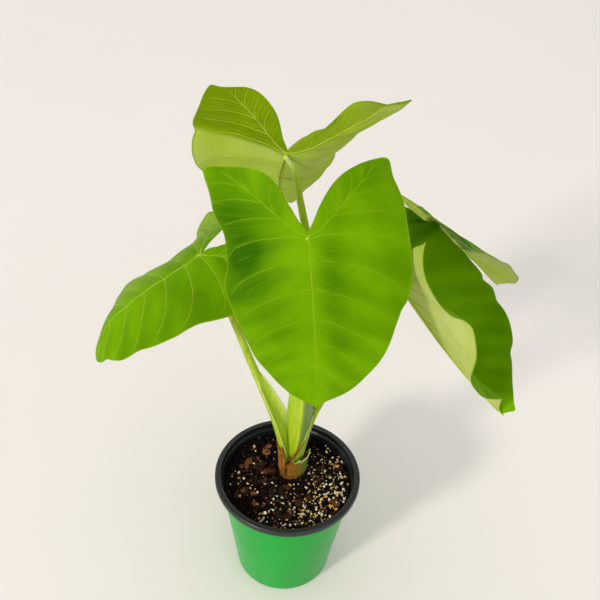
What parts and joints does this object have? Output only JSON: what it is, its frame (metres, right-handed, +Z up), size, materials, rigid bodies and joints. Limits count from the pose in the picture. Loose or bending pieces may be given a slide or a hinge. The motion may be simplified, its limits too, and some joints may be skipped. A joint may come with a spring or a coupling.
{
  "type": "potted plant",
  "caption": "Aroid with arrow-shaped lime-green leaves on long petioles, rooted in potting mix in a round two-tone nursery pot.",
  "frame": {"origin": "middle of the pot's flat underside", "axes": "+Z up along the pot's axis, the front leaf faces -Y, the folded leaf lies on the +X side"},
  "size_m": [0.3954, 0.254, 0.5694],
  "materials": {
    "pot_green": "satin moulded plastic",
    "pot_black": "satin moulded plastic",
    "potting_mix": "moist compost with bark chips and pale grains",
    "corm": "fibrous brown corm",
    "dry_sheath": "dry papery leaf base",
    "petiole": "living stem, satin",
    "leaf": "living leaf, satin, paler underneath"
  },
  "bodies": {
    "root": {"pot_wall": "pot_green", "pot_liner": "pot_black", "potting_mix": "potting_mix", "corm": "corm", "dry_leaf_base": "dry_sheath", "cut_leaf_base": "petiole", "leaf_base_column": "petiole", "petiole_front": "petiole", "petiole_top": "petiole", "petiole_back": "petiole", "petiole_left": "petiole", "petiole_right": "petiole", "blade_front": "leaf", "blade_top": "leaf", "blade_left": "leaf", "blade_right": "leaf", "blade_back": "leaf"}
  },
  "joints": []
}
